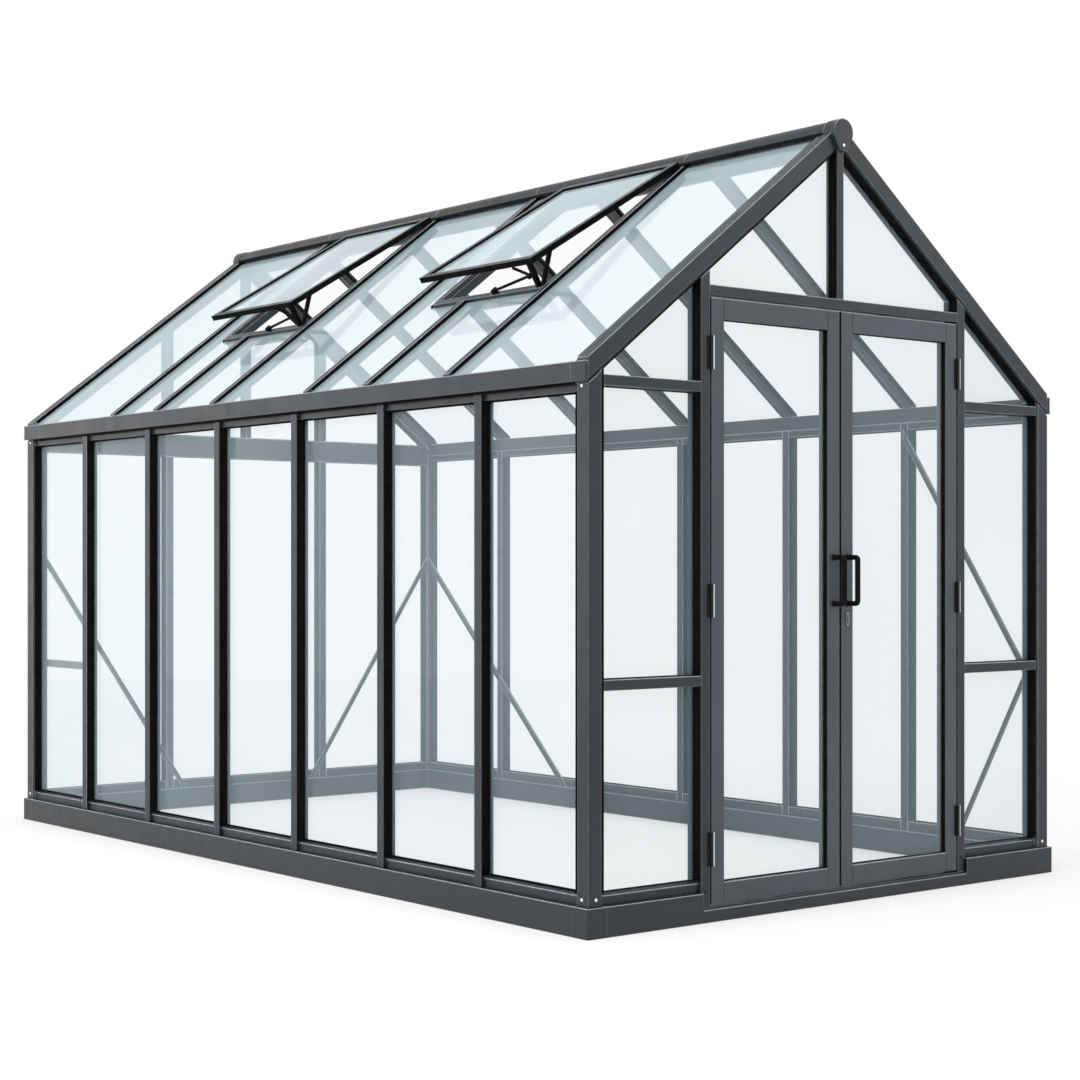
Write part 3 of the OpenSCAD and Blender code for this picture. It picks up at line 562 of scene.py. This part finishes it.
def tall_profile(height):
    """Seal against a bar: a lip on the glass and a flank up the side of the bar, whose black also paints the
    shade down that side.
    """
    return [
        (SEAL_GAP, SEAL_GAP),
        (LIP_W, SEAL_GAP),
        (LIP_W + 0.6 * MM, 1.2 * MM),
        (LIP_W - 1 * MM, 2.4 * MM),
        (FLANK_W + 1 * MM, 3.4 * MM),
        (FLANK_W, 5 * MM),
        (FLANK_W, height - 1 * MM),
        (FLANK_W - 0.8 * MM, height),
        (SEAL_GAP, height),
    ]


def low_profile(width, height):
    """Plain bead with a rounded top."""
    return [
        (SEAL_GAP, SEAL_GAP),
        (width, SEAL_GAP),
        (width + 0.5 * MM, height * 0.4),
        (width * 0.8, height * 0.8),
        (width * 0.45, height),
        (SEAL_GAP, height),
    ]


WIDE_BEAD = low_profile(5 * MM, 4 * MM)
SLIM_BEAD = low_profile(2 * MM, 2.5 * MM)
INNER_BEAD = low_profile(2.5 * MM, 3 * MM)


def seal_edge(seals, outline, normal, index, profile, rise):
    """One edge's seal: profile of (depth, height), with the glass face at the rise along the normal."""
    start = []
    end = []
    for depth, height in profile:
        ring = inset(outline, normal, PANE_IN + depth)
        lift = normal * (rise + height if rise >= 0 else rise - height)
        start.append(ring[index] + lift)
        end.append(ring[(index + 1) % len(outline)] + lift)
    seals.add(start, end)


def seal_node(node, flank, body, skip=None, low=None, bead=WIDE_BEAD):
    """Seals of all panes of a node, with a flank height, edges left out and edges with a plain bead."""
    seals = Solids()
    for outline, normal, thick in pane_faces(node):
        for i, point in enumerate(outline):
            edge = (outline[(i + 1) % len(outline)] - point).normalized()
            if skip and skip(edge):
                continue
            profile = bead if low and low(edge) else tall_profile(flank)
            seal_edge(seals, outline, normal, i, profile, 0.0)
            seal_edge(seals, outline, normal, i, INNER_BEAD, -thick)
    seals.place(node.replace("_glass", "_seals"), body)


def level(edge):
    return abs(edge.z) < 0.05


def along_ridge(edge):
    return abs(edge.y) > 0.9


def build_seals():
    for side in ("left", "right"):
        seal_node(f"{side}_wall_glass", WALL_FLANK, "frame", low=level)
        seal_node(f"{side}_roof_glass", ROOF_FLANK, "frame", skip=along_ridge)
        seal_node(f"{side}_door_glass", DOOR_FLANK, f"{side}_door", low=level, bead=SLIM_BEAD)
    for end in ("front", "back"):
        seal_node(f"{end}_gable_glass", WALL_FLANK, "frame", low=level, bead=SLIM_BEAD)
    seal_node("vent_glass", VENT_FLANK, "frame")


def along_y(seals, section, y0, y1):
    """A seal with a section of points in x and z, from one y to another."""
    seals.add([Vector((p.x, y0, p.z)) for p in section], [Vector((p.x, y1, p.z)) for p in section])


def upright(seals, section, z0, z1):
    """A seal with a section of points in x and y, from one height to another."""
    seals.add([p + UP * z0 for p in section], [p + UP * z1 for p in section])


# Black rubber strips under the ridge cap, on both slopes, painting the shade line beneath it: down the slope
# and out of it, in mm

RIDGE_SHADE_STRIP = [(49, 0.4), (49, 4), (60, 3.4), (65, 2), (66, 0.4)]
RIDGE_SHADE_STRIP_END = 40 * MM


def build_ridge_shade_strips():
    low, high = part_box("ridge_caps")
    slope = max((p.normal for p in nodes["left_roof_glass"].data.polygons), key=lambda n: n.z)
    down = Vector((-slope.z, 0, slope.x))
    apex = Vector((0, 0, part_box("ridge_beam")[1].z))
    seals = Solids()
    for sx in (1, -1):
        turn = Vector((sx, 1, 1))
        section = [apex + (down * (d * MM) + slope * (h * MM)) * turn for d, h in RIDGE_SHADE_STRIP]
        along_y(seals, section, low.y + RIDGE_SHADE_STRIP_END, high.y - RIDGE_SHADE_STRIP_END)
    seals.place("ridge_shade_strips", "frame")


# Black rubber strips under the gutters, painting the shade line beneath them: out of the wall and up, in mm

EAVES_SHADE_STRIP = [(0.0, -0.3), (1.6, -0.3), (2.0, -2.5), (1.4, -6.5), (0.0, -7.5)]


def build_eaves_shade_strips():
    low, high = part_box("eaves_rails")
    face_x = max(high.x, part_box("left_wall_bars")[1].x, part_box("right_wall_bars")[1].x)
    seals = Solids()
    for sx in (-1, 1):
        section = [Vector((sx * (face_x + out * MM), 0, GUTTER_LOW + up * MM)) for out, up in EAVES_SHADE_STRIP]
        along_y(seals, section, low.y, high.y)
    seals.place("eaves_shade_strips", "frame")


# Seals where the door leaves meet: out of the stile and along its depth, in mm

MEETING_BULB = [(0, 0), (1.5, -0.5), (3.2, 0.4), (3.9, 2.6), (3.2, 4.8), (1.5, 6.0), (0, 6.0)]
MEETING_DEPTHS = (4 * MM, 26 * MM)
MEETING_GAP = 0.1 * MM
MEETING_END = 2 * MM


def build_meeting_seals():
    for side, sign in (("left", -1), ("right", 1)):
        low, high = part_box(f"{side}_door_stiles")
        edge_x = high.x if side == "left" else low.x
        seals = Solids()
        for depth in MEETING_DEPTHS:
            section = [Vector((edge_x - sign * (out * MM + MEETING_GAP), low.y + depth + along * MM, 0))
                       for out, along in MEETING_BULB]
            upright(seals, section, low.z + MEETING_END, high.z - MEETING_END)
        seals.place(f"{side}_meeting_seal", f"{side}_door")


# Seams where a leaf's rails meet its stiles, and where the base meets the door sill, in mm

SEAM = [(-0.9, 0.0), (-0.5, 0.25), (0.5, 0.25), (0.9, 0.0), (0.5, -0.2), (-0.5, -0.2)]
SEAM_END = 1 * MM


def add_seam(seams, x, y, out_y, z0, z1):
    """Upright seam on a face that looks along y."""
    section = [Vector((x + across * MM, y + out_y * out * MM, 0)) for across, out in SEAM]
    upright(seams, section, z0, z1)


def build_seams():
    for side in ("left", "right"):
        low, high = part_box(f"{side}_door_rails")
        pane_low, pane_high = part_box(f"{side}_door_glass")
        seams = Solids()
        for x in (low.x, high.x):
            for y, out_y in ((low.y, -1), (high.y, 1)):
                add_seam(seams, x, y, out_y, low.z + SEAM_END, pane_low.z + PANE_IN)
                add_seam(seams, x, y, out_y, pane_high.z - PANE_IN, high.z - SEAM_END)
        seams.place(f"{side}_door_seams", f"{side}_door")
    low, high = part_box("door_sill")
    front_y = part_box("base_front_rails")[0].y
    seams = Solids()
    for x in (low.x, high.x):
        add_seam(seams, x, front_y, -1, SEAM_END, high.z - SEAM_END)
    seams.place("base_seams", "frame")


# Pull handles

GRIP_WIDE = 16 * MM
GRIP_DEEP = 12.5 * MM
GRIP_ROUND = 3.5 * MM
ROUND_STEPS = 4
BEND_R = 10 * MM
BEND_STEPS = 8
ARM_SWELL = 1.28

# Swell of the foot at distances from the door, in mm
FOOT_SWELL = [(0.0, 1.18), (1.6, 1.18), (2.6, 1.1), (3.0, 1.0)]


def grip_section():
    """Rounded bar section, as (across, deep) points."""
    half_w = GRIP_WIDE / 2 - GRIP_ROUND
    half_d = GRIP_DEEP / 2 - GRIP_ROUND
    points = []
    for quarter, (sx, sy) in enumerate(((1, 1), (-1, 1), (-1, -1), (1, -1))):
        for step in range(ROUND_STEPS + 1):
            t = (quarter + step / ROUND_STEPS) * math.pi / 2
            points.append((sx * half_w + GRIP_ROUND * math.cos(t), sy * half_d + GRIP_ROUND * math.sin(t)))
    return points


def grip_path(face_y, out_y, z0, z1):
    """Stations from the lower foot to the upper one: place, swell across and deep, turn about x."""
    line_y = out_y + GRIP_DEEP / 2
    stations = [(face_y - d * MM, z0, swell, swell * ARM_SWELL, 0.0) for d, swell in FOOT_SWELL]
    for step in range(BEND_STEPS + 1):
        share = step / BEND_STEPS
        turn = share * math.pi / 2
        y = line_y + BEND_R * (1 - math.sin(turn))
        z = z0 + BEND_R * (1 - math.cos(turn))
        stations.append((y, z, 1.0, ARM_SWELL + (1 - ARM_SWELL) * share, turn))
    upper = [(y, z0 + z1 - z, wide, deep, math.pi - turn) for y, z, wide, deep, turn in reversed(stations)]
    return stations + upper


def build_handles():
    section = grip_section()
    arm = GRIP_DEEP / 2 * ARM_SWELL * FOOT_SWELL[0][1]
    for side in ("left", "right"):
        node = f"{side}_door_handle"
        low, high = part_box(node)
        middle_x = (low.x + high.x) / 2
        rings = []
        for y, z, wide, deep, turn in grip_path(high.y, low.y, low.z + arm, high.z - arm):
            up_y = math.sin(turn) * deep
            up_z = math.cos(turn) * deep
            rings.append([Vector((middle_x + a * wide, y + up_y * b, z + up_z * b)) for a, b in section])
        grip = Solids()
        grip.add(*rings)
        pull = grip.place(f"{side}_pull", f"{side}_door", BLACK)
        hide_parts(node)


# Screws, with ring radii and heights as shares of the head's radius

SCREW_R = 5.5 * MM
SCREW_SEGMENTS = 24
SCREW_RINGS = [(0.94, 0.0), (1.0, 0.10), (0.97, 0.26), (0.80, 0.40), (0.55, 0.46), (0.40, 0.47)]
SOCKET_R = 0.36
SOCKET_TOP = 0.46
SOCKET_FLOOR = 0.18
HEX_TURN = math.pi / 3

# Turn of a screw in radians for each metre of its place
SPIN_X = 7
SPIN_Z = 5

POST_SCREW_IN = 28 * MM
LOW_SCREW_Z = BASE_TOP + 21 * MM
HIGH_SCREW_Z = GUTTER_LOW - 12 * MM
JAMB_X = 583 * MM
JAMB_SCREW_Z = 92 * MM
JAMB_SCREW_R = 4 * MM
RIDGE_SCREW_Z = 2382 * MM


def screw_rings(radius):
    """Rings of a pan head with a hexagon socket, from its foot to the floor of the socket."""
    rings = []
    turns = [2 * math.pi * i / SCREW_SEGMENTS for i in range(SCREW_SEGMENTS)]
    for share, height in SCREW_RINGS:
        rings.append([Vector((math.cos(t) * share, math.sin(t) * share, height)) * radius for t in turns])
    for height in (SOCKET_TOP, SOCKET_FLOOR):
        ring = []
        for t in turns:
            sector = (t % HEX_TURN) - HEX_TURN / 2
            reach = SOCKET_R * math.cos(HEX_TURN / 2) / math.cos(sector)
            ring.append(Vector((math.cos(t) * reach, math.sin(t) * reach, height)) * radius)
        rings.append(ring)
    return rings


def add_screw(screws, point, normal, radius=SCREW_R):
    look = normal.to_track_quat("Z", "Y").to_matrix().to_4x4()
    spin = Matrix.Rotation(point.x * SPIN_X + point.z * SPIN_Z, 4, "Z")
    turn = Matrix.Translation(point) @ look @ spin
    screws.add(*[[turn @ p for p in ring] for ring in screw_rings(radius)])


def build_frame_screws():
    screws = Solids()
    jamb_screws = Solids()
    to_front = Vector((0, -1, 0))
    for sx in (-1, 1):
        for y in (FRONT_Y + POST_SCREW_IN, BACK_Y - POST_SCREW_IN):
            for z in (LOW_SCREW_Z, HIGH_SCREW_Z):
                add_screw(screws, Vector((sx * SIDE_X, y, z)), Vector((sx, 0, 0)))
        for y, out_y in ((FRONT_Y, -1), (BACK_Y, 1)):
            add_screw(screws, Vector((sx * (SIDE_X - POST_SCREW_IN), y, LOW_SCREW_Z)), Vector((0, out_y, 0)))
        add_screw(jamb_screws, Vector((sx * JAMB_X, FRONT_Y, JAMB_SCREW_Z)), to_front, JAMB_SCREW_R)
    add_screw(screws, Vector((0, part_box("ridge_end_caps")[0].y, RIDGE_SCREW_Z)), to_front)
    screws.place("frame_screws", "frame", STEEL, "bare_metal")
    jamb_screws.place("jamb_screws", "frame", BLACK)


# Studio

CAMERA_PLACE = (-4.861, -6.325, 1.061)
CAMERA_YAW = -39.03
CAMERA_LENS = 69.63
CAMERA_SENSOR = 36.0
CAMERA_SHIFT_X = -0.0056
CAMERA_SHIFT_Y = 0.0236

WHITE = grey(1.0)
FLOOR_HALF = 40.0
FLOOR_Z = -0.4 * MM
FLOOR_LOW = grey(0.90)
FLOOR_HIGH = grey(0.93)

# The floor's own white shows more with the distance from the object's middle, in metres
GLOW_NEAR = 1.9
GLOW_FAR = 4.2
GLOW_LEAST = 0.42

# Level of the world's light at the horizon, and the height where it is full
WORLD_LOW = 0.62
WORLD_FULL = 0.9

# Lamps: name, place, target, width in metres, power in watts
LAMPS = [
    ("key", (-6.5, -2.5, 6.5), (0, 0, 1.2), 4.0, 330.0),
    ("fill", (5.5, -6.0, 5.0), (0, 0, 1.2), 5.0, 75.0),
    ("side", (-7.3, 10.2, 3.0), (-1.0, 0, 1.0), 12.0, 355.0),
]


def build_camera():
    data = bpy.data.cameras.new("camera")
    data.sensor_width = CAMERA_SENSOR
    data.lens = CAMERA_LENS
    data.shift_x = CAMERA_SHIFT_X
    data.shift_y = CAMERA_SHIFT_Y
    cam = bpy.data.objects.new("camera", data)
    cam.location = CAMERA_PLACE
    cam.rotation_euler = (math.radians(90), 0, math.radians(CAMERA_YAW))
    scene.collection.objects.link(cam)
    scene.camera = cam


def seen_rays(sh):
    """One for the rays that show the background: straight, mirrored or through glass."""
    rays = sh.rays()
    seen = sh.math("MAXIMUM", rays["Is Camera Ray"], rays["Is Glossy Ray"])
    return sh.math("MAXIMUM", seen, rays["Is Transmission Ray"])


def floor_material():
    mat, sh = material("pale_floor")
    place = sh.place()
    tone = sh.mix(sh.noise(place, scale=0.6), FLOOR_LOW, FLOOR_HIGH)
    matte = sh.add("ShaderNodeBsdfDiffuse", {"Color": tone}).outputs[0]
    glow = sh.add("ShaderNodeEmission", {"Color": WHITE, "Strength": 1.0}).outputs[0]
    reach = sh.add("ShaderNodeVectorMath", {0: place}, operation="LENGTH").outputs["Value"]
    share = sh.ramp(reach, GLOW_NEAR, GLOW_FAR, GLOW_LEAST, 1.0)
    sh.out(sh.mix_shaders(sh.math("MULTIPLY", seen_rays(sh), share), matte, glow))
    return mat


def build_floor():
    mesh = bpy.data.meshes.new("floor")
    corners = [(x * FLOOR_HALF, y * FLOOR_HALF, FLOOR_Z) for x, y in ((-1, -1), (1, -1), (1, 1), (-1, 1))]
    mesh.from_pydata(corners, [], [(0, 1, 2, 3)])
    mesh.materials.append(floor_material())
    floor = bpy.data.objects.new("floor", mesh)
    scene.collection.objects.link(floor)


def build_world():
    world = bpy.data.worlds.new("studio")
    world.use_nodes = True
    scene.world = world
    sh = Shader(world.node_tree)
    height = sh.axis(sh.add("ShaderNodeTexCoord").outputs["Generated"], "Z")
    light = sh.ramp(height, 0.0, WORLD_FULL, WORLD_LOW, 1.0)
    strength = sh.math("MAXIMUM", light, seen_rays(sh))
    back = sh.add("ShaderNodeBackground", {"Color": WHITE, "Strength": strength})
    sh.out(back.outputs[0], "ShaderNodeOutputWorld")


def build_lamps():
    for name, place, target, size, power in LAMPS:
        data = bpy.data.lights.new(name, "AREA")
        data.shape = "DISK"
        data.size = size
        data.energy = power
        lamp = bpy.data.objects.new(name, data)
        lamp.location = place
        lamp.rotation_euler = (Vector(target) - Vector(place)).to_track_quat("-Z", "Y").to_euler()
        scene.collection.objects.link(lamp)


build_camera()
build_world()
build_lamps()
build_floor()
dress_nodes()
build_seals()
build_ridge_shade_strips()
build_eaves_shade_strips()
build_meeting_seals()
build_seams()
build_handles()
build_frame_screws()

scene.view_settings.view_transform = "Standard"
